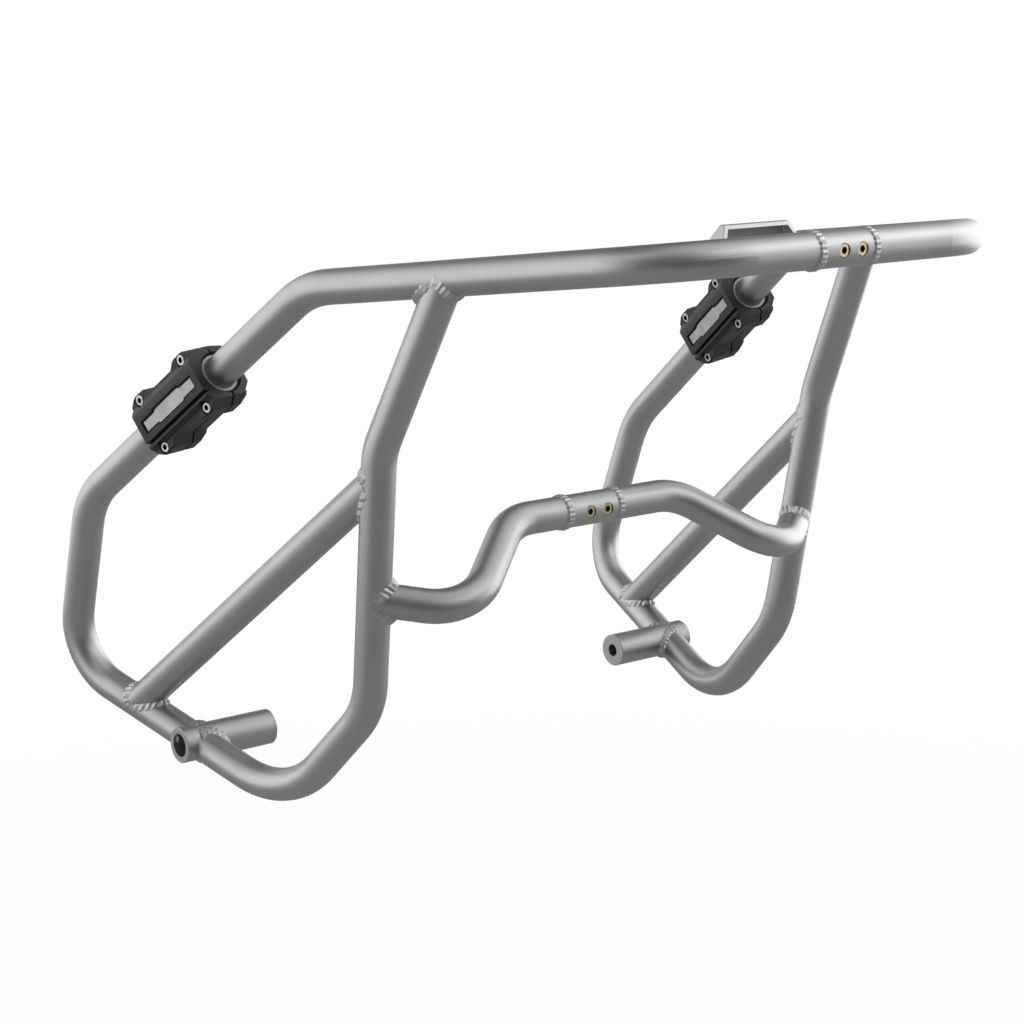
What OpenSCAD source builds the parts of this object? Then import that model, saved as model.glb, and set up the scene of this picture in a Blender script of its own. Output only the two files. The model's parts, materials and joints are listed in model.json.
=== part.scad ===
// Motorcycle crash bars: two bent tube loops, bolted together at the front by two
// lateral tubes, with clamp-on plastic pads. +Z is up, the bike faces -Y, and the
// right loop lies at negative X. The origin is the middle of the bounding box.

/* [Tube] */
// Outer diameter of every tube
tube_d = 28; // [24:0.5:32]
// Wall thickness of every tube
tube_wall = 2.5; // [1.5:0.1:4]

/* [Loop shape, measured from the middle of the top front tube] */
// Distance from the centre plane to the front corner of the top tube
front_x = 164; // [150:1:180]
// Sideways place of the top rear corner
top_rear_x = 262; // [250:1:275]
// Distance back to the top rear corner
top_rear_y = 318; // [300:1:335]
// Drop to the top rear corner
top_rear_drop = 40; // [25:1:55]
// Sideways place of the outer shoulder
shoulder_x = 314; // [300:1:325]
// Distance back to the outer shoulder
shoulder_y = 587; // [570:1:600]
// Drop to the outer shoulder
shoulder_drop = 242; // [230:1:255]
// Sideways place of the rear heel
heel_x = 309; // [300:1:320]
// Distance back to the rear heel
heel_y = 642; // [630:1:655]
// Drop to the rear heel
heel_drop = 401; // [390:1:415]
// Sideways place of the bottom corner
bottom_x = 246; // [235:1:256]
// Distance back to the bottom corner
bottom_y = 385; // [375:1:395]
// Drop to the bottom corner
bottom_drop = 480; // [470:1:495]
// Sideways place of the foot of the inner upright
upright_x = 229; // [222:1:236]
// Distance back to the foot of the inner upright
upright_y = 290; // [283:1:298]
// Drop to the foot of the inner upright
upright_drop = 380; // [370:1:388]
// Sideways place of the knee near the top of the inner upright
knee_x = 239; // [233:1:245]
// Distance back to the knee
knee_y = 257; // [250:1:264]
// Drop to the knee
knee_drop = 162; // [155:1:170]

/* [Bend radii, on the tube's centre line] */
// Front corner of the top tube
front_bend = 85; // [70:1:95]
// Top rear corner
top_rear_bend = 80; // [60:1:100]
// Outer shoulder
shoulder_bend = 79; // [60:1:100]
// Rear heel
heel_bend = 51; // [45:1:60]
// Bottom corner
bottom_bend = 90; // [75:1:100]
// Foot of the inner upright
upright_bend = 75; // [60:1:90]
// Knee
knee_bend = 66; // [50:1:80]

/* [Lower cross tube] */
// Distance back to the straight middle of the lower cross tube
cross_y = 283; // [275:1:292]
// Drop to the straight middle of the lower cross tube
cross_drop = 242; // [235:1:250]
// Sideways place where the lower cross tube turns forward
cross_turn_x = 91; // [85:1:100]
// Sideways place of its forward elbow
elbow_x = 172; // [165:1:180]
// Distance back to its forward elbow
elbow_y = 228; // [220:1:236]
// Drop to its forward elbow
elbow_drop = 295; // [288:1:302]
// Bend radius of the turn
cross_turn_bend = 52; // [40:1:60]
// Bend radius of the elbow
elbow_bend = 47; // [38:1:55]
// Height of its weld on the inner upright, as a share of the upright
cross_share = 0.44; // [0.4:0.01:0.48]

/* [Upright and brace] */
// Place of the inner upright's weld on the top tube, as a share of its length
top_weld_share = 0.6; // [0.55:0.01:0.65]
// Upper end of the brace, as a share of the inner upright
brace_top_share = 0.89; // [0.84:0.01:0.9]
// Lower end of the brace, as a share of the bottom tube
brace_foot_share = 0.32; // [0.3:0.01:0.35]

/* [Mounting boss] */
// Outer diameter of the boss
boss_d = 31; // [30:0.5:36]
// Place of the boss on the bottom tube, as a share of its length
boss_share = 0.595; // [0.57:0.005:0.62]
// Reach of the boss from the tube's axis towards the bike
boss_in = 71; // [50:1:90]
// Reach of the boss from the tube's axis outwards
boss_out = 16; // [15:0.5:22]
// Clearance hole for the mounting bolt
bolt_hole_d = 12; // [10:0.5:14]
// Bore that takes the head of the mounting bolt
head_bore_d = 19; // [16:0.5:22]
// Depth of the bore for the bolt head
head_bore_depth = 14; // [8:1:20]

/* [Bolted joints in the two front tubes] */
// Distance from the centre plane to the end of the right tube
sleeve_weld_x = 36; // [32:1:42]
// Distance from the centre plane to the seam between sleeve and spigot
seam_x = 13; // [11:0.5:16]
// Distance from the centre plane to the end of the left tube
spigot_weld_x = 20; // [18:0.5:26]
// Diameter of the spigot inside the sleeve
spigot_d = 14; // [12:0.5:16]
// Clearance round the spigot
spigot_gap = 0.2; // [0.1:0.05:0.4]
// Depth of the plugs inside the tube ends
plug_len = 14; // [8:1:20]
// Distance from the centre plane to the first joint screw, on the right
screw_1_x = 14.5; // [12:0.5:16]
// Distance from the centre plane to the second joint screw, on the left
screw_2_x = 4.5; // [2:0.5:6]
// Thread diameter of the joint screws
joint_screw_d = 6; // [5:0.5:6]
// Head diameter of the joint screws
joint_head_d = 10; // [9:0.5:10.5]
// Head height of the joint screws
joint_head_h = 4.5; // [3:0.5:5]

/* [Pads] */
// Place of the right pad along the sloping tube, from the top rear corner
right_pad_at = 172; // [150:1:200]
// Turn of the right pad on its tube
right_pad_turn = -3.5; // [-10:0.5:15]
// Place of the left pad along the sloping tube, from the top rear corner
left_pad_at = 126; // [110:1:180]
// Turn of the left pad on its tube
left_pad_turn = 12; // [-10:0.5:15]
// Length of a pad along its tube
pad_len = 96; // [90:1:110]
// Width of a pad over its lugs
pad_w = 72; // [68:1:84]
// Width of a pad at its waist
pad_waist = 52; // [48:1:56]
// Height of a pad's face above the tube's axis
pad_h = 26; // [24:0.5:30]
// Height of the lugs above the tube's axis
pad_lug_h = 19; // [16:0.5:21]
// Gap between the two shells of a pad
pad_split = 1; // [0.4:0.1:2]
// Distance between the pad screws along the tube
pad_screw_pitch = 65; // [56:1:70]
// Distance between the pad screws across the tube
pad_screw_span = 45; // [43:1:50]
// Thread diameter of the pad screws
pad_screw_d = 5; // [4:0.5:6]
// Head diameter of the pad screws
pad_head_d = 9; // [8:0.5:10]
// Thickness of the rubber lining round the tube
liner_t = 2; // [1:0.25:3]
// Thickness of the plain plate on a pad's face
plate_t = 2; // [1:0.5:3]

/* [Rear bracket of the top tube] */
// Thickness of its sheet
bracket_t = 3; // [2:0.5:4]
// Length of its flat top
bracket_len = 64; // [50:1:75]
// Depth of the tray, front to back
bracket_depth = 20; // [14:1:28]
// Height of its top above the tube's axis
bracket_rise = 24; // [22:1:30]
// Distance from the centre plane to its middle
bracket_x = 73; // [66:1:74]

/* [Welds] */
// Length of a weld's legs on both tubes
weld_leg = 5; // [3:0.5:7]
// Ripples in a weld that runs round a tube
weld_ripples = 24; // [16:1:30]

/* [Hidden] */
$fn = 64;
eps = 0.01;
tube_r = tube_d/2;
bore_r = tube_r - tube_wall;
// Extra radius of a tube in its bends, and the reach of a straight run into a bend
bend_swell = 0.04;
run_overlap = 1;
// Slip fit of a joint's plug in the end of a tube
plug_r = bore_r - 0.15;
boss_r = boss_d/2;
// Shift of the whole part that puts the middle of its bounding box at the origin
mid_y = 313;
mid_drop = 229;

function unit(v) = v/norm(v);
function place(x, y, drop) = [x, y - mid_y, mid_drop - drop];
function mix(a, b, s) = a + (b - a)*s;

top_mid = place(0, 0, 0);
front = place(front_x, 0, 0);
top_rear = place(top_rear_x, top_rear_y, top_rear_drop);
shoulder = place(shoulder_x, shoulder_y, shoulder_drop);
heel = place(heel_x, heel_y, heel_drop);
bottom = place(bottom_x, bottom_y, bottom_drop);
upright = place(upright_x, upright_y, upright_drop);
knee = place(knee_x, knee_y, knee_drop);
top_weld = mix(front, top_rear, top_weld_share);
brace_top = mix(upright, knee, brace_top_share);
brace_foot = mix(heel, bottom, brace_foot_share);
boss_at = mix(heel, bottom, boss_share);
cross_mid = place(0, cross_y, cross_drop);
cross_turn = place(cross_turn_x, cross_y, cross_drop);
elbow = place(elbow_x, elbow_y, elbow_drop);
cross_end = mix(upright, knee, cross_share);

// Turn angle, tangent length and bend frame at corner b of the path a-b-c
function turn(a, b, c) = acos(unit(b - a)*unit(c - b));
function tangent(a, b, c, r) = r*tan(turn(a, b, c)/2);
function bend_side(a, b, c) = unit(unit(c - b) - unit(b - a)*(unit(c - b)*unit(b - a)));

// Children drawn along +Z from a towards b
module along(a, b) {
    d = unit(b - a);
    translate(a) rotate([0, acos(d[2]), atan2(d[1], d[0])]) children();
}

module rod(a, b, r, extra = 0) {
    along(a, b) translate([0, 0, -extra]) cylinder(r = r, h = norm(b - a) + 2*extra);
}

// One bend of centre-line radius r and section radius s
module bend(a, b, c, r, s) {
    u = unit(b - a);
    n = unit(cross(u, unit(c - b)));
    side = bend_side(a, b, c);
    centre = b - u*tangent(a, b, c, r) + side*r;
    tilt = acos(n[2]);
    swing = atan2(n[1], n[0]);
    e1 = [cos(tilt)*cos(swing), cos(tilt)*sin(swing), -sin(tilt)];
    e2 = [-sin(swing), cos(swing), 0];
    translate(centre)
        rotate([0, tilt, swing])
            rotate([0, 0, atan2(-side*e2, -side*e1)])
                rotate_extrude(angle = turn(a, b, c))
                    translate([r, 0])
                        circle(r = s);
}

// Start and end of the straight run i of a path with bend radii R
function run_start(P, R, i) =
    i == 0 ? P[0] : P[i] + unit(P[i + 1] - P[i])*tangent(P[i - 1], P[i], P[i + 1], R[i - 1]);
function run_end(P, R, i) =
    i == len(P) - 2 ? P[i + 1]
    : P[i + 1] - unit(P[i + 1] - P[i])*tangent(P[i], P[i + 1], P[i + 2], R[i]);

// Straight runs reach a little way into the bends, and are thinner there by less than
// the eye can see, so that each junction is one clean face
module path_rod(P, R, s, extra = 0) {
    last = len(P) - 2;
    for (i = [0:last]) {
        a = run_start(P, R, i);
        b = run_end(P, R, i);
        d = unit(b - a);
        rod(a - d*(i == 0 ? extra : run_overlap), b + d*(i == last ? extra : run_overlap), s - bend_swell);
    }
    for (i = [1:last]) bend(P[i - 1], P[i], P[i + 1], R[i - 1], s);
}

module path_tube(P, R) {
    difference() {
        path_rod(P, R, tube_r);
        path_rod(P, R, bore_r, 1);
    }
}

module upper_tube(x_start) {
    P = [place(x_start, 0, 0), front, top_rear, shoulder, heel, boss_at];
    R = [front_bend, top_rear_bend, shoulder_bend, heel_bend];
    color("silver") difference() {
        path_tube(P, R);
        boss_solid();
    }
}

module lower_tube() {
    P = [boss_at, bottom, upright, knee, top_weld];
    R = [bottom_bend, upright_bend, knee_bend];
    color("silver") difference() {
        path_tube(P, R);
        boss_solid();
        rod(front, top_rear, tube_r);
    }
}

module brace_tube() {
    color("silver") difference() {
        rod(brace_top, brace_foot, tube_r);
        rod(brace_top, brace_foot, bore_r, 1);
        rod(upright, knee, tube_r);
        rod(heel, bottom, tube_r);
    }
}

module cross_tube(x_start) {
    P = [place(x_start, cross_y, cross_drop), cross_turn, elbow, cross_end];
    color("silver") difference() {
        path_tube(P, [cross_turn_bend, elbow_bend]);
        rod(upright, knee, tube_r);
    }
}

// The boss without its bores; it runs sideways through the bottom tube
module boss_solid() {
    translate(boss_at) rotate([0, 90, 0]) translate([0, 0, -boss_in]) cylinder(r = boss_r, h = boss_in + boss_out);
}

module mount_boss() {
    color("silver") difference() {
        boss_solid();
        translate(boss_at) rotate([0, 90, 0]) {
            translate([0, 0, -boss_in - 1]) cylinder(d = bolt_hole_d, h = boss_in + boss_out + 2);
            translate([0, 0, boss_out - head_bore_depth]) cylinder(d = head_bore_d, h = head_bore_depth + 1);
        }
    }
}

// Joint pieces lie along X; c is the middle of the joint on the tube's axis
screw_hole_d = joint_screw_d + 0.4;
head_seat_y = -tube_r + joint_head_h + 1;

module joint_holes(c, d, y0, y1) {
    for (x = [-screw_1_x, screw_2_x])
        translate(c + [x, y0, 0]) rotate([-90, 0, 0]) cylinder(d = d, h = y1 - y0);
}

module joint_sleeve(c) {
    color("silver") difference() {
        union() {
            translate(c + [-sleeve_weld_x, 0, 0]) rotate([0, 90, 0]) cylinder(r = tube_r, h = sleeve_weld_x + seam_x);
            translate(c + [-sleeve_weld_x - plug_len, 0, 0]) rotate([0, 90, 0]) cylinder(r = plug_r, h = plug_len + 1);
        }
        translate(c + [-screw_1_x - joint_head_d, 0, 0])
            rotate([0, 90, 0])
                cylinder(d = spigot_d + 2*spigot_gap, h = screw_1_x + joint_head_d + seam_x + 1);
        joint_holes(c, screw_hole_d, -tube_r - 1, tube_r - 2);
        joint_holes(c, joint_head_d + 1, -tube_r - 1, head_seat_y);
    }
}

module joint_spigot(c) {
    color("silver") difference() {
        union() {
            translate(c + [seam_x, 0, 0]) rotate([0, 90, 0]) cylinder(r = tube_r, h = spigot_weld_x - seam_x);
            translate(c + [-screw_1_x - joint_head_d + 1, 0, 0])
                rotate([0, 90, 0])
                    cylinder(d = spigot_d, h = screw_1_x + joint_head_d + seam_x);
            translate(c + [spigot_weld_x - 1, 0, 0]) rotate([0, 90, 0]) cylinder(r = plug_r, h = plug_len + 1);
        }
        joint_holes(c, screw_hole_d, -tube_r, tube_r);
    }
}

module joint_screws(c) {
    color("goldenrod") for (x = [-screw_1_x, screw_2_x])
        translate(c + [x, head_seat_y, 0]) rotate([-90, 0, 0]) difference() {
            union() {
                translate([0, 0, -joint_head_h]) cylinder(d = joint_head_d, h = joint_head_h);
                cylinder(d = joint_screw_d, h = tube_r - 3 - head_seat_y);
            }
            translate([0, 0, -joint_head_h - 1]) cylinder(d = 5.8, h = 3.5, $fn = 6);
        }
}

// A pressed tray that stands on the back of the right half of the top tube
module rear_bracket() {
    foot = tube_r/2;
    splay = 10;
    color("silver") translate(top_mid + [-bracket_x, bracket_depth + 4, 0]) rotate([90, 0, 0]) difference() {
        linear_extrude(height = bracket_depth) difference() {
            polygon([[-bracket_len/2 - splay, foot], [-bracket_len/2, bracket_rise],
                     [bracket_len/2, bracket_rise], [bracket_len/2 + splay, foot]]);
        }
        translate([0, 0, bracket_t]) linear_extrude(height = bracket_depth) polygon([
            [-bracket_len/2 - splay + bracket_t*1.2, foot - 1],
            [-bracket_len/2 + bracket_t*0.8, bracket_rise - bracket_t],
            [bracket_len/2 - bracket_t*0.8, bracket_rise - bracket_t],
            [bracket_len/2 + splay - bracket_t*1.2, foot - 1]]);
        translate([-bracket_len, 0, bracket_depth + 4]) rotate([0, 90, 0]) cylinder(r = tube_r, h = 2*bracket_len);
    }
}

// Pad frame: +Z down the sloping tube, +X square to the face that looks outwards
module pad_frame(at, turn_by) {
    d = unit(shoulder - top_rear);
    translate(top_rear + d*at)
        rotate([0, acos(d[2]), atan2(d[1], d[0])])
            rotate([0, 0, 270 - turn_by])
                children();
}

pad_bore_r = tube_r + liner_t;
lug_in = pad_screw_pitch/2 - 12;

// Half of the shell's outline, across the tube and along it
pad_half = [[0, -pad_len/2], [pad_waist/2 - 8, -pad_len/2], [pad_w/2 - 7, -pad_screw_pitch/2 - 9],
            [pad_w/2, -pad_screw_pitch/2 - 2], [pad_w/2, -pad_screw_pitch/2 + 4],
            [pad_waist/2, -lug_in], [pad_waist/2, lug_in],
            [pad_w/2, pad_screw_pitch/2 - 4], [pad_w/2, pad_screw_pitch/2 + 2],
            [pad_w/2 - 7, pad_screw_pitch/2 + 9], [pad_waist/2 - 8, pad_len/2], [0, pad_len/2]];

// Section across the tube, from the split plane up to the face
pad_section = [[0, pad_split/2], [pad_w/2 + 1, pad_split/2], [pad_w/2 + 1, pad_lug_h - 6],
               [pad_w/2 - 5, pad_lug_h], [19, pad_lug_h + 1], [16, pad_h - 5],
               [14, pad_h - 5], [13, pad_h], [0, pad_h]];

plate_outline = [[-5.5, -30], [5.5, -30], [5.5, -19], [8, -16], [8, 16], [5.5, 19], [5.5, 30],
                 [-5.5, 30], [-5.5, 19], [-8, 16], [-8, -16], [-5.5, -19]];

// A half outline [across, other] with its mirror image, as [other, across]
function whole(half) = concat([for (p = half) [p[1], p[0]]],
                              [for (i = [len(half) - 2:-1:1]) [half[i][1], -half[i][0]]]);

module pad_screw_places() {
    for (y = [-1, 1]) for (z = [-1, 1])
        translate([0, y*pad_screw_span/2, z*pad_screw_pitch/2]) rotate([0, 90, 0]) children();
}

module pad_shell(plate) {
    color("dimgray") difference() {
        intersection() {
            translate([0, 0, -pad_len/2]) linear_extrude(height = pad_len) polygon(whole(pad_section));
            rotate([0, 90, 0]) linear_extrude(height = pad_h + 1) polygon(whole(pad_half));
        }
        translate([0, 0, -pad_len]) cylinder(r = pad_bore_r, h = 2*pad_len);
        pad_screw_places() {
            translate([0, 0, -1]) cylinder(d = pad_screw_d + 0.4, h = pad_h + 2);
            translate([0, 0, pad_lug_h - 4]) cylinder(d = pad_head_d + 1.5, h = pad_h);
        }
        if (plate) translate([pad_h - plate_t, 0, 0]) rotate([0, 90, 0])
            linear_extrude(height = plate_t + 1) polygon([for (p = plate_outline) [-p[1]*1.03, p[0]*1.1]]);
    }
}

module pad_plate() {
    color("lightgray") translate([pad_h - plate_t, 0, 0]) rotate([0, 90, 0])
        linear_extrude(height = plate_t - 0.5) polygon([for (p = plate_outline) [-p[1], p[0]]]);
}

module pad_liner() {
    color("gray") difference() {
        translate([0, 0, -pad_len/2 + 1]) cylinder(r = pad_bore_r, h = pad_len - 2);
        translate([0, 0, -pad_len]) cylinder(r = tube_r, h = 2*pad_len);
    }
}

// Screws sit in the front shell with their heads up; nuts sit in the back shell
module pad_screws() {
    color("silver") pad_screw_places() difference() {
        union() {
            translate([0, 0, pad_lug_h - 4]) cylinder(d = pad_head_d, h = pad_screw_d);
            translate([0, 0, -pad_lug_h + 1]) cylinder(d = pad_screw_d, h = 2*pad_lug_h - 4);
        }
        translate([0, 0, pad_lug_h - 4 + pad_screw_d - 3]) cylinder(d = 4.6, h = 4, $fn = 6);
    }
}

module pad_nuts() {
    color("silver") pad_screw_places() translate([0, 0, -pad_lug_h]) difference() {
        cylinder(d = pad_head_d, h = 4, $fn = 6);
        translate([0, 0, -1]) cylinder(d = pad_screw_d, h = 6);
    }
}

// Welds: a closed bead along the line where a branch tube meets another tube.
// p is where the axes cross, db points along the branch, dm along the other tube.
function hit(rb, rm, ca, sa, a) = (sqrt(rm*rm - pow(rb*sin(a), 2)) + rb*cos(a)*ca)/sa;
function weld_point(p, db, dm, rb, rm, a) =
    let (ca = db*dm, g = unit(cross(db, dm)), e = unit(dm - db*ca), sa = norm(cross(db, dm)))
    p + e*(rb*cos(a)) + g*(rb*sin(a)) + db*hit(rb, rm, ca, sa, a);
function off_axis(q, p, dm) = (q - p) - dm*((q - p)*dm);
function snap(q, p, dm, rm) = let (o = off_axis(q, p, dm)) q + unit(o)*(rm - norm(o));
function weld_ring(p, db, dm, rb, rm, a, leg, swell) =
    let (c = weld_point(p, db, dm, rb, rm, a),
         t = unit(weld_point(p, db, dm, rb, rm, a + 1) - weld_point(p, db, dm, rb, rm, a - 1)),
         nb = unit(off_axis(c, p, db)),
         nm = unit(off_axis(c, p, dm)),
         out = cross(nm, t),
         way = out*nb > 0 ? out : -out,
         foot = snap(c + way*leg, p, dm, rm),
         top = c + db*leg,
         mid = (foot + top)/2 + unit(nb + nm)*swell)
    [c - unit(nb + nm)*0.2, foot, mix(foot, mid, 0.6) + nm*swell*0.5, mix(top, mid, 0.6) + nb*swell*0.5, top];

module closed_bead(rings) {
    n = len(rings);
    m = len(rings[0]);
    polyhedron(points = [for (r = rings) each r],
               faces = [for (i = [0:n - 1]) for (j = [0:m - 1]) each
                        let (a = i*m + j, b = i*m + (j + 1)%m, c = ((i + 1)%n)*m + j, d = ((i + 1)%n)*m + (j + 1)%m)
                        [[a, b, d], [a, d, c]]]);
}

module saddle_weld(p, toward, other_a, other_b, rm = tube_r) {
    db = unit(toward - p);
    dm = unit(other_b - other_a);
    n = 2*weld_ripples;
    closed_bead([for (i = [0:n - 1]) weld_ring(p, db, dm, tube_r, rm, -i*360/n,
                     weld_leg*(1 + (i%2 == 0 ? 0.08 : -0.12)), i%2 == 0 ? 0.7 : 0.1)]);
}

module loop_welds() {
    color("gainsboro") {
        saddle_weld(top_weld, knee, front, top_rear);
        saddle_weld(brace_top, brace_foot, upright, knee);
        saddle_weld(brace_foot, brace_top, heel, bottom);
        saddle_weld(cross_end, elbow, upright, knee);
    }
}

module boss_welds() {
    color("gainsboro") {
        saddle_weld(boss_at, heel, boss_at, boss_at + [1, 0, 0], boss_r);
        saddle_weld(boss_at, bottom, boss_at, boss_at + [1, 0, 0], boss_r);
    }
}

// A bead round a tube along X, over the seam at x
module seam_weld(c, x, w) {
    n = 2*weld_ripples;
    closed_bead([for (i = [0:n - 1]) let (a = i*360/n, s = i%2 == 0 ? 1 : 0.8, h = i%2 == 0 ? 1.4 : 0.8)
        [for (q = [[-w/2*s, 0], [-w/4, h], [w/4, h], [w/2*s, 0], [0, -0.3]])
            c + [x + q[0], (tube_r + q[1])*cos(a), (tube_r + q[1])*sin(a)]]]);
}

module joint_welds(c) {
    color("gainsboro") {
        seam_weld(c, -sleeve_weld_x, 9);
        seam_weld(c, spigot_weld_x, 8);
    }
}

module on_right() {
    mirror([1, 0, 0]) children();
}

module flipped() {
    mirror([1, 0, 0]) children();
}

on_right() upper_tube(sleeve_weld_x);  // right_upper_tube
upper_tube(spigot_weld_x);  // left_upper_tube
on_right() lower_tube();  // right_lower_tube
lower_tube();  // left_lower_tube
on_right() brace_tube();  // right_brace_tube
brace_tube();  // left_brace_tube
on_right() cross_tube(sleeve_weld_x);  // right_cross_tube
cross_tube(spigot_weld_x);  // left_cross_tube
on_right() mount_boss();  // right_mount_boss
mount_boss();  // left_mount_boss
joint_sleeve(top_mid);  // upper_joint_sleeve
joint_sleeve(cross_mid);  // lower_joint_sleeve
joint_spigot(top_mid);  // upper_joint_spigot
joint_spigot(cross_mid);  // lower_joint_spigot
joint_screws(top_mid);  // upper_joint_screws
joint_screws(cross_mid);  // lower_joint_screws
rear_bracket();
on_right() pad_frame(right_pad_at, right_pad_turn) pad_shell(true);  // right_pad_front
on_right() pad_frame(right_pad_at, right_pad_turn) flipped() pad_shell(false);  // right_pad_back
pad_frame(left_pad_at, left_pad_turn) flipped() pad_shell(true);  // left_pad_front
pad_frame(left_pad_at, left_pad_turn) pad_shell(false);  // left_pad_back
on_right() pad_frame(right_pad_at, right_pad_turn) pad_liner();  // right_pad_liner
pad_frame(left_pad_at, left_pad_turn) pad_liner();  // left_pad_liner
on_right() pad_frame(right_pad_at, right_pad_turn) pad_plate();  // right_pad_plate
pad_frame(left_pad_at, left_pad_turn) flipped() pad_plate();  // left_pad_plate
on_right() pad_frame(right_pad_at, right_pad_turn) pad_screws();  // right_pad_screws
pad_frame(left_pad_at, left_pad_turn) flipped() pad_screws();  // left_pad_screws
on_right() pad_frame(right_pad_at, right_pad_turn) pad_nuts();  // right_pad_nuts
pad_frame(left_pad_at, left_pad_turn) flipped() pad_nuts();  // left_pad_nuts
on_right() loop_welds();  // right_loop_welds
loop_welds();  // left_loop_welds
on_right() boss_welds();  // right_boss_welds
boss_welds();  // left_boss_welds
joint_welds(top_mid);  // upper_joint_welds
joint_welds(cross_mid);  // lower_joint_welds
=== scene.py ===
import bmesh
import bpy
import json
import math
from mathutils import Vector, Matrix


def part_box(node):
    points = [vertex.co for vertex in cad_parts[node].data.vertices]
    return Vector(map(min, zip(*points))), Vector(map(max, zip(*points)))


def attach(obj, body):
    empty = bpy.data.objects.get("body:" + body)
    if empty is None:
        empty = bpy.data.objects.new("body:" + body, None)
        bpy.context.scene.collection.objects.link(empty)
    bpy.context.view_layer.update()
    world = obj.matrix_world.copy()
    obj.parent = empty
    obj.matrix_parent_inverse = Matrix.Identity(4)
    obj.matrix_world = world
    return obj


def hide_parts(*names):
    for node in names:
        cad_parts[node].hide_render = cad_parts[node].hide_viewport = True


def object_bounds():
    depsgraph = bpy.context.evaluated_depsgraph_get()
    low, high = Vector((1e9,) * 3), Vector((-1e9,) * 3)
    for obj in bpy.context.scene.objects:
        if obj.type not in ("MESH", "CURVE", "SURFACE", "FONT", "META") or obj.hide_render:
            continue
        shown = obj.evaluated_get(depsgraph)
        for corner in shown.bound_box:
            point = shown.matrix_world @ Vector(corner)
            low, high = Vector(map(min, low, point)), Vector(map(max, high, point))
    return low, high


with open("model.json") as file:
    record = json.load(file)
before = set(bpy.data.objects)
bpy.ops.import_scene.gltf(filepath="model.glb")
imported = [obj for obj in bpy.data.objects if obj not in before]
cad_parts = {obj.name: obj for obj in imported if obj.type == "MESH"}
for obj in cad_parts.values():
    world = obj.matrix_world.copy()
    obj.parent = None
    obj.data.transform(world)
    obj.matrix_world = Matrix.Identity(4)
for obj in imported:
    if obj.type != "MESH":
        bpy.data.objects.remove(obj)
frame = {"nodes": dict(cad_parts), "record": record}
cad_box = [list(c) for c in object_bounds()]
scene = bpy.context.scene

MM = 0.001

# ---- Camera, fitted to the viewing angle of the photograph ----

PHOTO_PX = 1024.0
LENS_PX = 2331.2
SENSOR_MM = 36.0
SHIFT_X = -0.0038
SHIFT_Y = 0.0114
CLIP_END = 50.0
EYE = Vector((-1.2531, -1.5073, 0.4013))
AHEAD = Vector((0.60575, 0.76569, -0.21627)).normalized()


def make_camera():
    data = bpy.data.cameras.new("camera")
    cam = bpy.data.objects.new("camera", data)
    scene.collection.objects.link(cam)
    data.sensor_fit = "HORIZONTAL"
    data.sensor_width = SENSOR_MM
    data.lens = SENSOR_MM * LENS_PX / PHOTO_PX
    data.clip_end = CLIP_END
    data.shift_x = SHIFT_X
    data.shift_y = SHIFT_Y
    right = AHEAD.cross(Vector((0, 0, 1))).normalized()
    up = right.cross(AHEAD)
    turn = Matrix((right, up, -AHEAD)).transposed()
    cam.matrix_world = Matrix.Translation(EYE) @ turn.to_4x4()
    scene.camera = cam


# ---- Materials ----

NOISE_ROUGHNESS = 0.55
CLOUD_DETAIL = 3.0
GRAIN_DETAIL = 2.0
# The noise levels that give a ramp's low and its high value
RAMP_LOW = 0.35
RAMP_HIGH = 0.65
RELIEF_STRENGTH = 0.35


def new_material(name):
    """A material with a principled shader; returns it with its tree, shader and output."""
    mat = bpy.data.materials.new(name)
    mat.use_nodes = True
    tree = mat.node_tree
    tree.nodes.clear()
    out = tree.nodes.new("ShaderNodeOutputMaterial")
    shader = tree.nodes.new("ShaderNodeBsdfPrincipled")
    tree.links.new(shader.outputs[0], out.inputs[0])
    return mat, tree, shader, out


def noise(tree, scale, detail):
    coord = tree.nodes.new("ShaderNodeTexCoord")
    node = tree.nodes.new("ShaderNodeTexNoise")
    node.inputs["Scale"].default_value = scale
    node.inputs["Detail"].default_value = detail
    node.inputs["Roughness"].default_value = NOISE_ROUGHNESS
    tree.links.new(coord.outputs["Object"], node.inputs["Vector"])
    return node.outputs["Fac"]


def ramp(tree, source, low, high):
    node = tree.nodes.new("ShaderNodeValToRGB")
    ends = zip(node.color_ramp.elements, (RAMP_LOW, RAMP_HIGH), (low, high))
    for element, position, colour in ends:
        element.position = position
        element.color = colour
    tree.links.new(source, node.inputs[0])
    return node.outputs[0]


def tint(colour, share):
    return tuple(c * share for c in colour) + (1.0,)


def surface(name, colour, metallic, rough, spread, grain, bump, cloud, rough_spread=0.05):
    """A material with clouds of scale cloud in its colour and a fine grain of scale grain.

    spread is the share by which the colour varies, rough_spread the amount by which
    the roughness does, and bump the depth of the grain's relief in millimetres."""
    mat, tree, shader, out = new_material(name)
    clouds = noise(tree, cloud, CLOUD_DETAIL)
    colours = ramp(tree, clouds, tint(colour, 1 - spread), tint(colour, 1 + spread))
    tree.links.new(colours, shader.inputs["Base Color"])
    grains = noise(tree, grain, GRAIN_DETAIL)
    white = (1.0, 1.0, 1.0)
    smooth, dull = tint(white, rough - rough_spread), tint(white, rough + rough_spread)
    levels = ramp(tree, grains, smooth, dull)
    tree.links.new(levels, shader.inputs["Roughness"])
    shader.inputs["Metallic"].default_value = metallic
    relief = tree.nodes.new("ShaderNodeBump")
    relief.inputs["Strength"].default_value = RELIEF_STRENGTH
    relief.inputs["Distance"].default_value = bump * MM
    tree.links.new(grains, relief.inputs["Height"])
    tree.links.new(relief.outputs[0], shader.inputs["Normal"])
    return mat


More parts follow.
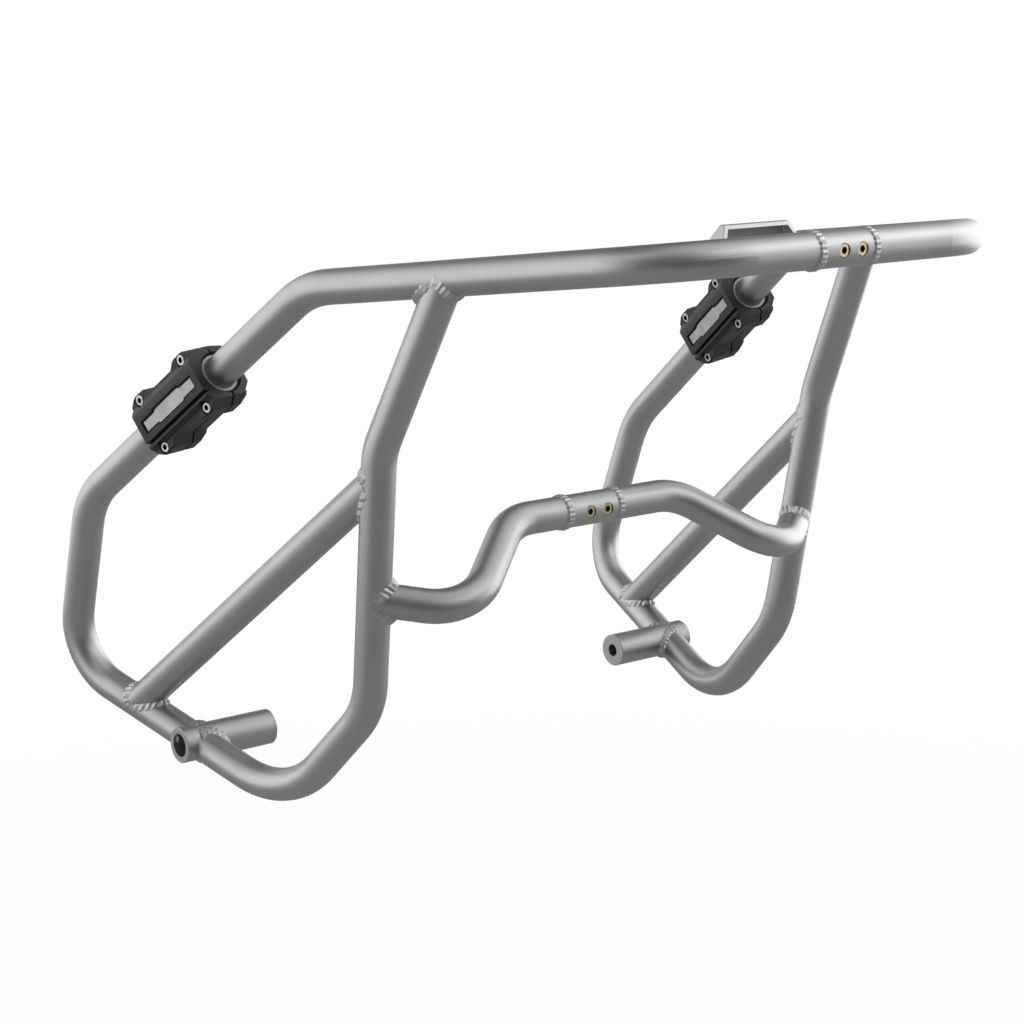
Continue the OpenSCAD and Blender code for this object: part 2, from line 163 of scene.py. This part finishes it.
MATS = {
    "tube": surface("blasted_aluminium", (0.42, 0.42, 0.422), metallic=1.0, rough=0.42,
                    spread=0.05, grain=1400.0, bump=0.05, cloud=7.0, rough_spread=0.04),
    "weld": surface("weld_bead", (0.46, 0.46, 0.462), metallic=1.0, rough=0.46,
                    spread=0.12, grain=700.0, bump=0.12, cloud=160.0, rough_spread=0.08),
    "joint_screw": surface("passivated_steel", (0.72, 0.58, 0.34), metallic=1.0, rough=0.30,
                           spread=0.12, grain=500.0, bump=0.01, cloud=120.0),
    "pad": surface("moulded_plastic", (0.012, 0.012, 0.013), metallic=0.0, rough=0.52,
                   spread=0.10, grain=1300.0, bump=0.08, cloud=40.0),
    "liner": surface("pale_liner", (0.36, 0.36, 0.36), metallic=0.3, rough=0.45,
                     spread=0.08, grain=900.0, bump=0.03, cloud=40.0),
    "plate": surface("brushed_plate", (0.45, 0.45, 0.445), metallic=0.6, rough=0.42,
                     spread=0.10, grain=600.0, bump=0.05, cloud=90.0),
    "screw": surface("bright_screw", (0.50, 0.50, 0.50), metallic=1.0, rough=0.34,
                     spread=0.08, grain=500.0, bump=0.01, cloud=90.0),
    # Painted shade: the socket material is a near-black colour for the cups that stand in for the
    # shade inside the screw sockets
    "socket": surface("painted_shade_socket", (0.035, 0.030, 0.026), metallic=0.4, rough=0.5,
                      spread=0.10, grain=500.0, bump=0.02, cloud=90.0),
}


def slot_of(node):
    """The material slot that the row's record gives a node."""
    for part in frame["record"]["subparts"]:
        if part["node"] == node:
            return part["material_slot"]
    return "tube"


def dress_nodes():
    for name, obj in frame["nodes"].items():
        obj.data.materials.clear()
        obj.data.materials.append(MATS[slot_of(name)])


# ---- Stage ----

FLOOR_SIZE = 5.0
FLOOR_DROP = 0.45
FLOOR_COLOUR = (0.42, 0.42, 0.42, 1)
FLOOR_ROUGHNESS = 0.9
# How much plain white the camera and a mirror see on the floor. The camera's share
# grows to 1 between two distances from the middle, so no rim shows.
CAMERA_WHITE = 0.95
MIRROR_WHITE = 0.03
FADE_START = 0.6
FADE_END = 2.2
# Studio surroundings: an even base level and soft bright zones, each given as
# direction, cosine where it starts, cosine where it is full, and level
BASE_LEVEL = 0.13
ZONES = (((0.45, -0.46, 0.77), 0.50, 0.97, 0.95),
         ((-0.72, 0.69, 0.02), 0.35, 0.95, 1.45),
         ((0.30, 0.93, 0.22), 0.90, 0.995, 0.40),
         ((0.62, 0.76, -0.20), 0.955, 1.0, 0.90),
         ((0.97, 0.00, -0.10), 0.63, 0.95, 2.30))
# Area lights: name, place, target, size and power
LIGHTS = (("key", (-2.0, -0.6, 2.8), (0, 0, 0), 1.6, 6),
          ("front", (0.8, -2.6, 2.2), (0, -0.2, 0), 1.4, 6),
          ("accent", (0.50, -0.60, 0.62), (0.12, -0.31, 0.23), 0.4, 0.55))


def maths(tree, operation, a, b):
    """A maths node's output; a and b are numbers or the outputs of other nodes."""
    node = tree.nodes.new("ShaderNodeMath")
    node.operation = operation
    for socket, value in zip(node.inputs, (a, b)):
        if isinstance(value, float):
            socket.default_value = value
        else:
            tree.links.new(value, socket)
    return node.outputs[0]


def smooth_step(tree, source, start, full, low, high):
    """Goes smoothly from low, where source is start, to high, where it is full."""
    fade = tree.nodes.new("ShaderNodeMapRange")
    fade.interpolation_type = "SMOOTHSTEP"
    fade.inputs["From Min"].default_value = start
    fade.inputs["From Max"].default_value = full
    fade.inputs["To Min"].default_value = low
    fade.inputs["To Max"].default_value = high
    tree.links.new(source, fade.inputs["Value"])
    return fade.outputs["Result"]


def mix_shaders(tree, share, off, on, out):
    """Sends to out the shader off where share is 0 and on where it is 1."""
    mix = tree.nodes.new("ShaderNodeMixShader")
    for source, socket in zip((share, off.outputs[0], on.outputs[0]), mix.inputs):
        tree.links.new(source, socket)
    tree.links.new(mix.outputs[0], out.inputs[0])


def white_to_camera(tree, shader, out):
    """Mixes a plain white glow over shader for what the camera or a mirror sees."""
    path = tree.nodes.new("ShaderNodeLightPath")
    coord = tree.nodes.new("ShaderNodeTexCoord")
    away = tree.nodes.new("ShaderNodeVectorMath")
    away.operation = "LENGTH"
    tree.links.new(coord.outputs["Object"], away.inputs[0])
    fade = smooth_step(tree, away.outputs["Value"], FADE_START, FADE_END, CAMERA_WHITE, 1.0)
    camera = maths(tree, "MULTIPLY", path.outputs["Is Camera Ray"], fade)
    mirror = maths(tree, "MULTIPLY", path.outputs["Is Glossy Ray"], MIRROR_WHITE)
    share = maths(tree, "MAXIMUM", camera, mirror)
    share = maths(tree, "MAXIMUM", share, path.outputs["Is Transmission Ray"])
    glow = tree.nodes.new("ShaderNodeEmission")
    mix_shaders(tree, share, shader, glow, out)


def make_floor():
    h = FLOOR_SIZE / 2
    z = cad_box[0][2] - FLOOR_DROP
    floor = solid("floor", [(-h, -h, z), (h, -h, z), (h, h, z), (-h, h, z)], [(0, 1, 2, 3)])
    mat, tree, shader, out = new_material("floor")
    shader.inputs["Base Color"].default_value = FLOOR_COLOUR
    shader.inputs["Roughness"].default_value = FLOOR_ROUGHNESS
    white_to_camera(tree, shader, out)
    floor.data.materials.append(mat)


def zone(tree, source, towards, start, full, level):
    dot = tree.nodes.new("ShaderNodeVectorMath")
    dot.operation = "DOT_PRODUCT"
    dot.inputs[1].default_value = Vector(towards).normalized()
    tree.links.new(source, dot.inputs[0])
    return smooth_step(tree, dot.outputs["Value"], start, full, 0.0, level)


def background(tree):
    node = tree.nodes.new("ShaderNodeBackground")
    node.inputs["Color"].default_value = (1, 1, 1, 1)
    return node


def make_surroundings():
    """Zones of light for the part, and plain white for the camera."""
    world = bpy.data.worlds.new("world")
    scene.world = world
    world.use_nodes = True
    tree = world.node_tree
    tree.nodes.clear()
    out = tree.nodes.new("ShaderNodeOutputWorld")
    coord = tree.nodes.new("ShaderNodeTexCoord")
    total = BASE_LEVEL
    for towards, start, full, level in ZONES:
        part = zone(tree, coord.outputs["Generated"], towards, start, full, level)
        total = maths(tree, "ADD", part, total)
    soft = background(tree)
    tree.links.new(total, soft.inputs["Strength"])
    path = tree.nodes.new("ShaderNodeLightPath")
    mix_shaders(tree, path.outputs["Is Camera Ray"], soft, background(tree), out)


def make_light(name, place, target, size, power):
    data = bpy.data.lights.new(name, "AREA")
    data.shape = "SQUARE"
    data.size = size
    data.energy = power
    lamp = bpy.data.objects.new(name, data)
    scene.collection.objects.link(lamp)
    lamp.location = place
    aim = Vector(target) - Vector(place)
    lamp.rotation_euler = aim.to_track_quat("-Z", "Y").to_euler()


# ---- Building pieces ----

ROUND_SIDES = 96
BEVEL_SEGMENTS = 2
BEVEL_ANGLE = math.radians(28)
SHARP_ANGLE = 30
# Points of a copied mesh that lie this close are merged before it is cut
MERGE_WITHIN = 0.002 * MM


def solid(name, verts, faces):
    mesh = bpy.data.meshes.new(name)
    mesh.from_pydata(verts, [], faces)
    obj = bpy.data.objects.new(name, mesh)
    scene.collection.objects.link(obj)
    return obj


def outward(obj):
    """Turns every face of a closed mesh outwards."""
    work = bmesh.new()
    work.from_mesh(obj.data)
    bmesh.ops.recalc_face_normals(work, faces=work.faces)
    work.to_mesh(obj.data)
    work.free()


def prism(name, outline, low, high, spot):
    """Extrudes a closed outline; spot(a, b, t) gives the place of its point (a, b) at level t."""
    n = len(outline)
    verts = [spot(a, b, t) for t in (low, high) for a, b in outline]
    faces = [tuple(range(n - 1, -1, -1)), tuple(range(n, 2 * n))]
    faces += [(i, (i + 1) % n, (i + 1) % n + n, i + n) for i in range(n)]
    obj = solid(name, verts, faces)
    outward(obj)
    return obj


def lathe(name, profile, n, spot, ring=False):
    """Turns (radius, level) points; spot(x, y, t) gives a place. ring joins the profile's ends."""
    verts = []
    for r, t in profile:
        for k in range(n):
            a = 2 * math.pi * (k + 0.5) / n
            verts.append(spot(r * math.cos(a), r * math.sin(a), t))
    faces = []
    rows = len(profile)
    for i in range(rows if ring else rows - 1):
        j = (i + 1) % rows
        for k in range(n):
            m = (k + 1) % n
            faces.append((i * n + k, i * n + m, j * n + m, j * n + k))
    if not ring:
        faces += [tuple(range(n - 1, -1, -1)), tuple(range((rows - 1) * n, rows * n))]
    obj = solid(name, verts, faces)
    outward(obj)
    return obj


def hexagon(r):
    return [(r * math.cos(j * math.pi / 3), r * math.sin(j * math.pi / 3)) for j in range(6)]


def mirrored(half, other=None):
    """A whole outline from a half one; other is the half on the negative side."""
    return [(b, a) for a, b in half] + [(b, -a) for a, b in (other or half)[-2:0:-1]]


def carve(obj, steps):
    """Applies boolean steps, each an operation and the object it uses up."""
    for operation, tool in steps:
        cut = obj.modifiers.new("cut", "BOOLEAN")
        cut.operation = operation
        cut.object = tool
        cut.solver = "EXACT"
    bpy.context.view_layer.update()
    graph = bpy.context.evaluated_depsgraph_get()
    mesh = bpy.data.meshes.new_from_object(obj.evaluated_get(graph))
    obj.modifiers.clear()
    obj.data = mesh
    for _, tool in steps:
        bpy.data.objects.remove(tool)


def soften(obj, width):
    """Rounds the sharp edges of a piece a little."""
    bevel = obj.modifiers.new("soft_edges", "BEVEL")
    bevel.width = width
    bevel.segments = BEVEL_SEGMENTS
    bevel.limit_method = "ANGLE"
    bevel.angle_limit = BEVEL_ANGLE
    bevel.use_clamp_overlap = True


def settle(obj, matrix, slot, nodes, bevel=0.0, sharp=SHARP_ANGLE):
    """Moves a piece from its own frame to the row's and gives it its looks and its body."""
    obj.data.transform(matrix)
    if matrix.determinant() < 0:
        obj.data.flip_normals()
    obj.data.polygons.foreach_set("use_smooth", [True] * len(obj.data.polygons))
    obj.data.set_sharp_from_angle(angle=math.radians(sharp))
    obj.data.materials.clear()
    obj.data.materials.append(MATS[slot])
    if bevel:
        soften(obj, bevel)
    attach(obj, "root")
    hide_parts(*nodes)


def copy_of(node, name):
    """A piece with a CAD node's shape, to be cut; the node itself stays as it is."""
    obj = bpy.data.objects.new(name, frame["nodes"][node].data.copy())
    scene.collection.objects.link(obj)
    work = bmesh.new()
    work.from_mesh(obj.data)
    bmesh.ops.remove_doubles(work, verts=work.verts, dist=MERGE_WITHIN)
    work.to_mesh(obj.data)
    work.free()
    return obj


# ---- Painted shade in the screw sockets ----

# A painted shade cup's wall, its floor and the dip in it: radii as shares of the socket's, and the
# dip
CUP_FLOOR = 0.45
CUP_TIP = 0.2
CUP_DIP = 0.2 * MM
# Joint screws: depth of a socket, how far its cup starts below the head's face, and
# the gap between the two
JOINT_SOCKET_DEPTH = 2.2 * MM
JOINT_CUP_SINK = 0.5 * MM
CUP_GAP = 0.08 * MM
# Points of a mesh that round to one place on a grid of this many steps to the metre are
# one, and points this near the top are on the head's face
GRID_STEPS = 1e5
FACE_DEPTH = 0.2 * MM


def hex_shade_cup(name, centre, axis, x, r, depth, sink, slot):
    """A hexagonal cup of painted shade, dark where a screw's socket lies in shade; x points at one
    of its corners.
    """
    y = axis.cross(x)
    rows = ((-sink, r), (-depth, r), (-depth, r * CUP_FLOOR), (-depth - CUP_DIP, r * CUP_TIP))
    verts = [centre + axis * level + x * a + y * b for level, radius in rows
             for a, b in hexagon(radius)]
    faces = [(6 * i + j, 6 * i + (j + 1) % 6, 6 * i + (j + 1) % 6 + 6, 6 * i + j + 6)
             for i in range(3) for j in range(6)]
    faces.append(tuple(range(18, 24)))
    cup = solid(name, verts, faces)
    cup.data.materials.append(MATS["socket"])
    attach(cup, "root")


def islands(obj):
    """Lists of vertex indices of the separate solids in a node's mesh, joined where points meet."""
    spots = {}
    parent = list(range(len(obj.data.vertices)))

    def root(i):
        while parent[i] != i:
            parent[i] = parent[parent[i]]
            i = parent[i]
        return i

    for v in obj.data.vertices:
        key = tuple(round(c * GRID_STEPS) for c in v.co)
        if key in spots:
            parent[root(v.index)] = root(spots[key])
        else:
            spots[key] = v.index
    for e in obj.data.edges:
        parent[root(e.vertices[0])] = root(e.vertices[1])
    out = {}
    for v in obj.data.vertices:
        out.setdefault(root(v.index), []).append(v.index)
    return list(out.values())


def make_joint_sockets(node):
    """Dark cups of painted shade in the sockets of the screws of one joint, whose heads face
    forward.
    """
    obj = frame["nodes"][node]
    axis = Vector((0, -1, 0))
    for k, group in enumerate(islands(obj)):
        points = [obj.data.vertices[i].co for i in group]
        top = max(p.dot(axis) for p in points)
        face = [p for p in points if p.dot(axis) > top - FACE_DEPTH]
        centre = sum(face, Vector()) / len(face)
        corner = min(face, key=lambda p: (p - centre).cross(axis).length) - centre
        x = corner - axis * corner.dot(axis)
        centre = centre + axis * (top - centre.dot(axis))
        # Each cup is a piece of painted shade, dark where the socket lies in shade
        hex_shade_cup("%s_socket_%d" % (node, k), centre, axis, x.normalized(), x.length - CUP_GAP,
                JOINT_SOCKET_DEPTH, JOINT_CUP_SINK, slot_of(node))


# ---- Pads, in millimetres; X points out of the face, Y across the tube, Z along it ----

TUBE_R = 14.0
# The centre line of the left sloping tube, from its upper to its lower corner
SLOPE_TOP = Vector((262, 5, 189))
SLOPE_END = Vector((314, 274, -13))
# Name, distance down the tube, turn about it in degrees, and side, with -1 for the right
PADS = (("right", 172.0, -3.5, -1), ("left", 126.0, 12.0, 1))
PAD_HALF = 45.0
PAD_BORE = 17.0
# What the bore's flare adds to its radius, at which distance from the middle
BORE_FLARE = ((0, 41), (2, 45), (2.5, 50))
# Half outline, across the tube and along it, and half sections, across and out
PAD_OUTLINE = ((0, -45), (22, -45), (28, -36.5), (28, -24.5), (22, -16.5),
               (22, 16.5), (28, 24.5), (28, 36.5), (22, 45), (0, 45))
FRONT_GROOVED = ((0, 0.8), (29, 0.8), (29, 20), (26.5, 22), (20, 22), (17, 26), (14.5, 26),
                 (13.6, 22.5), (12.6, 22.5), (11.6, 27), (0, 27))
FRONT_PLAIN = ((0, 0.8), (29, 0.8), (29, 20), (26.5, 22), (20, 22), (15.5, 26.2),
               (13.5, 27), (0, 27))
BACK_SECTION = ((0, 0.8), (29, 0.8), (29, 9), (24, 15), (20, 15), (13, 22), (0, 22))
# Far enough out to pass every face of a pad
PAST_PAD = 40

# Plain plate: half width and half length of its corners, its two levels, and its recess
PLATE_CORNERS = ((4.3, 36.5), (4.3, 20), (6, 17))
PLATE_SEAT = 25
PLATE_FACE = 26
PLATE_GAP = 1.6
PAST_PLATE = 30

# Lining: half length, gap to its neighbours, and chamfer
LINER_HALF = 43
LINER_GAP = 0.05
LINER_EDGE = 0.4

# Screws and nuts: place across and along, and the levels of the lugs that carry them
SCREW_ACROSS = 22.5
SCREW_ALONG = 32.5
LUG_FRONT = 22.0
LUG_BACK = 15.0
SCREW_R = 2.5
SCREW_SIDES = 48
# How far a screw ends inside the nut's face
SCREW_SHORT = 1
HEAD_R = 4.5
HEAD_H = 5.0
HEAD_EDGE = 0.5
SOCKET_R = 2.6
SOCKET_DEPTH = 3
NUT_H = 4.0
NUT_EDGE = 0.4
NUT_SIDES = 6
# Holes of the screws and the wells for their heads and nuts
HOLE_R = 2.7
WELL_GAP = 0.9
WELL_SIDES = 40
# The dark cup of painted shade in a pad screw's socket
CUP_R = 2.52
CUP_DEPTH = 2.7
CUP_SINK = 0.4

# Rounding of edges on large and on small pieces
LARGE_ROUNDING = 0.6 * MM
SMALL_ROUNDING = 0.2 * MM


def pad_matrix(at, turn_by, side, flip):
    """From a pad's own frame, in millimetres, to the row's: X out of the face, Z along the tube."""
    d = (SLOPE_END - SLOPE_TOP).normalized()
    place = Matrix.Translation((SLOPE_TOP + d * at) * MM)
    swing = Matrix.Rotation(math.atan2(d.y, d.x), 4, "Z") @ Matrix.Rotation(math.acos(d.z), 4, "Y")
    spin = Matrix.Rotation(math.radians(270 - turn_by), 4, "Z")
    return (Matrix.Diagonal((side, 1, 1, 1)) @ place @ swing @ spin
            @ Matrix.Diagonal((flip * MM, MM, MM, 1)))


def along_tube(x, y, t):
    return (x, y, t)


def out_of_face(y, z):
    """The spot function of a shape that stands square to the face at (y, z)."""
    return lambda a, b, t: (t, y + a, z + b)


def screw_spots():
    return [(y * SCREW_ACROSS, z * SCREW_ALONG) for y in (-1, 1) for z in (-1, 1)]


def plate_outline(grow):
    """The plate's outline, grown by grow on each side."""
    ends = [(a + grow, b + grow) for a, b in PLATE_CORNERS]
    half = [(a, -b) for a, b in ends] + ends[::-1]
    return half + [(-a, b) for a, b in reversed(half)]


def pad_shell(name, section, lug, sunk):
    """One half of a pad and the steps that cut it; sunk is the depth of the wells in its lugs."""
    shell = prism(name, section, -PAD_HALF - 1, PAD_HALF + 1, along_tube)
    outline = prism("tool", mirrored(PAD_OUTLINE), -1, PAST_PAD, lambda a, b, t: (t, b, a))
    flare = [(PAD_BORE + more, t) for more, t in BORE_FLARE]
    bore = [(r, -t) for r, t in reversed(flare)] + flare
    steps = [("INTERSECT", outline), ("DIFFERENCE", lathe("tool", bore, ROUND_SIDES, along_tube))]
    well_r = HEAD_R + WELL_GAP
    well = ((HOLE_R, -1), (HOLE_R, lug - sunk), (well_r, lug - sunk), (well_r, PAST_PAD))
    for y, z in screw_spots():
        steps.append(("DIFFERENCE", lathe("tool", well, WELL_SIDES, out_of_face(y, z))))
    return shell, steps


def make_shells(side_name, front, back):
    shell, steps = pad_shell(side_name + "_pad_front_shell",
                             mirrored(FRONT_GROOVED, FRONT_PLAIN), LUG_FRONT, HEAD_H)
    recess = prism("tool", plate_outline(PLATE_GAP), PLATE_SEAT, PAST_PLATE, out_of_face(0, 0))
    carve(shell, steps + [("DIFFERENCE", recess)])
    settle(shell, front, "pad", [side_name + "_pad_front"], LARGE_ROUNDING)
    shell, steps = pad_shell(side_name + "_pad_back_shell", mirrored(BACK_SECTION), LUG_BACK, NUT_H)
    carve(shell, steps)
    settle(shell, back, "pad", [side_name + "_pad_back"], LARGE_ROUNDING)


def make_lining(side_name, front):
    inner, outer = TUBE_R + LINER_GAP, PAD_BORE - LINER_GAP
    low = ((inner, LINER_EDGE - LINER_HALF), (inner + LINER_EDGE, -LINER_HALF),
           (outer - LINER_EDGE, -LINER_HALF), (outer, LINER_EDGE - LINER_HALF))
    section = low + tuple((r, -t) for r, t in reversed(low))
    liner = lathe(side_name + "_pad_lining", section, ROUND_SIDES, along_tube, ring=True)
    settle(liner, front, "liner", [side_name + "_pad_liner"])


def make_plate(side_name, front):
    plate = prism(side_name + "_pad_plain_plate", plate_outline(0), PLATE_SEAT, PLATE_FACE,
                  out_of_face(0, 0))
    settle(plate, front, "plate", [side_name + "_pad_plate"], SMALL_ROUNDING)


def make_pad_screw(side_name, k, y, z, front):
    """Screw k of a pad with the cup of painted shade in its socket, and its nut."""
    spot = out_of_face(y, z)
    seat = LUG_FRONT - HEAD_H
    profile = ((SCREW_R, SCREW_SHORT - LUG_BACK), (SCREW_R, seat), (HEAD_R, seat),
               (HEAD_R, LUG_FRONT - HEAD_EDGE), (HEAD_R - HEAD_EDGE, LUG_FRONT))
    screw = lathe("%s_pad_screw_%d" % (side_name, k), profile, SCREW_SIDES, spot)
    socket = prism("tool", hexagon(SOCKET_R), LUG_FRONT - SOCKET_DEPTH, LUG_FRONT + 1, spot)
    carve(screw, [("DIFFERENCE", socket)])
    settle(screw, front, "screw", [side_name + "_pad_screws"])

    # A dark cup of painted shade, where the socket lies in shade
    turn = front.to_3x3()
    hex_shade_cup("%s_pad_socket_%d" % (side_name, k), front @ Vector((LUG_FRONT, y, z)),
            (turn @ Vector((1, 0, 0))).normalized(), (turn @ Vector((0, 1, 0))).normalized(),
            CUP_R * MM, CUP_DEPTH * MM, CUP_SINK * MM, "screw")

    profile = ((SCREW_R, -LUG_BACK), (HEAD_R - NUT_EDGE, -LUG_BACK), (HEAD_R, NUT_EDGE - LUG_BACK),
               (HEAD_R, NUT_H - LUG_BACK), (SCREW_R, NUT_H - LUG_BACK))
    nut = lathe("%s_pad_nut_%d" % (side_name, k), profile, NUT_SIDES, spot, ring=True)
    settle(nut, front, "screw", [side_name + "_pad_nuts"], SMALL_ROUNDING)


def make_pad(side_name, at, turn_by, side):
    front = pad_matrix(at, turn_by, side, -side)
    back = pad_matrix(at, turn_by, side, side)
    make_shells(side_name, front, back)
    make_lining(side_name, front)
    make_plate(side_name, front)
    for k, (y, z) in enumerate(screw_spots()):
        make_pad_screw(side_name, k, y, z, front)


# ---- Pressed cover behind the top tube, in millimetres ----

# The axis of the top tube, which the cover stands on
TOP_TUBE_Y = -313
TOP_TUBE_Z = 229
# Outlines from the front (across, up) and from the side (up, back); the inner ones
# leave the cover's wall and open it to the front
COVER_FRONT = ((-43, 0), (-32, 21), (32, 21), (43, 0))
COVER_SIDE = ((21, 18), (21, 23), (0, 33), (0, 8))
HOLLOW_FRONT = ((-40.5, -1), (-29.5, 17.8), (29.5, 17.8), (40.5, -1))
HOLLOW_SIDE = ((18.0, -2), (18.0, 20.5), (-1, 30.5), (-1, -12))
# Levels that pass the whole cover: from front to back, and to either side
COVER_THROUGH = (-20, 60)
COVER_ACROSS = (-100, 100)
TUBE_GAP = 0.3
TUBE_REACH = 120


def wedge(name, front_outline, side_outline):
    """What two outlines have in common, one seen from the front and one from the side."""
    obj = prism(name, front_outline, *COVER_THROUGH, lambda a, b, t: (a, t, b))
    tool = prism("tool", side_outline, *COVER_ACROSS, lambda a, b, t: (t, b, a))
    carve(obj, [("INTERSECT", tool)])
    return obj


def make_cover():
    cover = wedge("rear_bracket_cover", COVER_FRONT, COVER_SIDE)
    hollow = wedge("hollow", HOLLOW_FRONT, HOLLOW_SIDE)
    rod = lathe("tool", ((TUBE_R + TUBE_GAP, -TUBE_REACH), (TUBE_R + TUBE_GAP, TUBE_REACH)),
                ROUND_SIDES, lambda x, y, t: (t, x, y))
    carve(cover, [("DIFFERENCE", hollow), ("DIFFERENCE", rod)])
    low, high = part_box("rear_bracket")
    at = Vector(((low[0] + high[0]) / 2, TOP_TUBE_Y * MM, TOP_TUBE_Z * MM))
    settle(cover, Matrix.Translation(at) @ Matrix.Scale(MM, 4), "tube", ["rear_bracket"],
           LARGE_ROUNDING)


# ---- Mounting bosses, in millimetres ----

BOSS_R = 15.5
BOSS_EDGE = 0.5
BOLT_R = 6.0
HEAD_BORE_R = 10.25
HEAD_BORE_DEPTH = 16.0
HEAD_BORE_EDGE = 0.3
# How much longer the sleeve is than the CAD boss, and the CAD boss's outer reach from
# the tube's axis
BOSS_EXTRA = 3.0
BOSS_REACH = 16.0
# The beads are cut back within this radius, from this far outside the tube's axis
RECESS_R = 22.5
RECESS_FROM = 4.7
RECESS_SIDES = 64
PAST_BOSS = 20
# Angle in degrees above which a bead's edge stays sharp
BEAD_SHARP = 14


def make_boss(side_name, side):
    low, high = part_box(side_name + "_mount_boss")
    inner = min(abs(low[0]), abs(high[0])) / MM
    outer = max(abs(low[0]), abs(high[0])) / MM
    cy, cz = (low[1] + high[1]) / 2, (low[2] + high[2]) / 2

    def spot(a, b, t):
        return (side * t * MM, cy + a * MM, cz + b * MM)

    end = outer + BOSS_EXTRA
    bore_end = end - HEAD_BORE_DEPTH
    section = ((BOLT_R, inner), (BOSS_R - BOSS_EDGE, inner), (BOSS_R, inner + BOSS_EDGE),
               (BOSS_R, end - BOSS_EDGE), (BOSS_R - BOSS_EDGE, end),
               (HEAD_BORE_R + HEAD_BORE_EDGE, end), (HEAD_BORE_R, end - HEAD_BORE_EDGE),
               (HEAD_BORE_R, bore_end), (BOLT_R, bore_end))
    sleeve = lathe(side_name + "_boss_sleeve", section, ROUND_SIDES, spot, ring=True)
    settle(sleeve, Matrix.Identity(4), "tube", [side_name + "_mount_boss"])

    start = outer - BOSS_REACH + RECESS_FROM
    node = side_name + "_boss_welds"
    beads = copy_of(node, node + "_cut")
    recess = lathe("tool", ((RECESS_R, start), (RECESS_R, end + PAST_BOSS)), RECESS_SIDES, spot)
    carve(beads, [("DIFFERENCE", recess)])
    settle(beads, Matrix.Identity(4), "weld", [node], sharp=BEAD_SHARP)


make_camera()
make_floor()
make_surroundings()
for light in LIGHTS:
    make_light(*light)
dress_nodes()
for joint in ("upper_joint_screws", "lower_joint_screws"):
    make_joint_sockets(joint)
for pad in PADS:
    make_pad(*pad)
make_cover()
make_boss("right", -1)
make_boss("left", 1)

scene.view_settings.view_transform = "Standard"
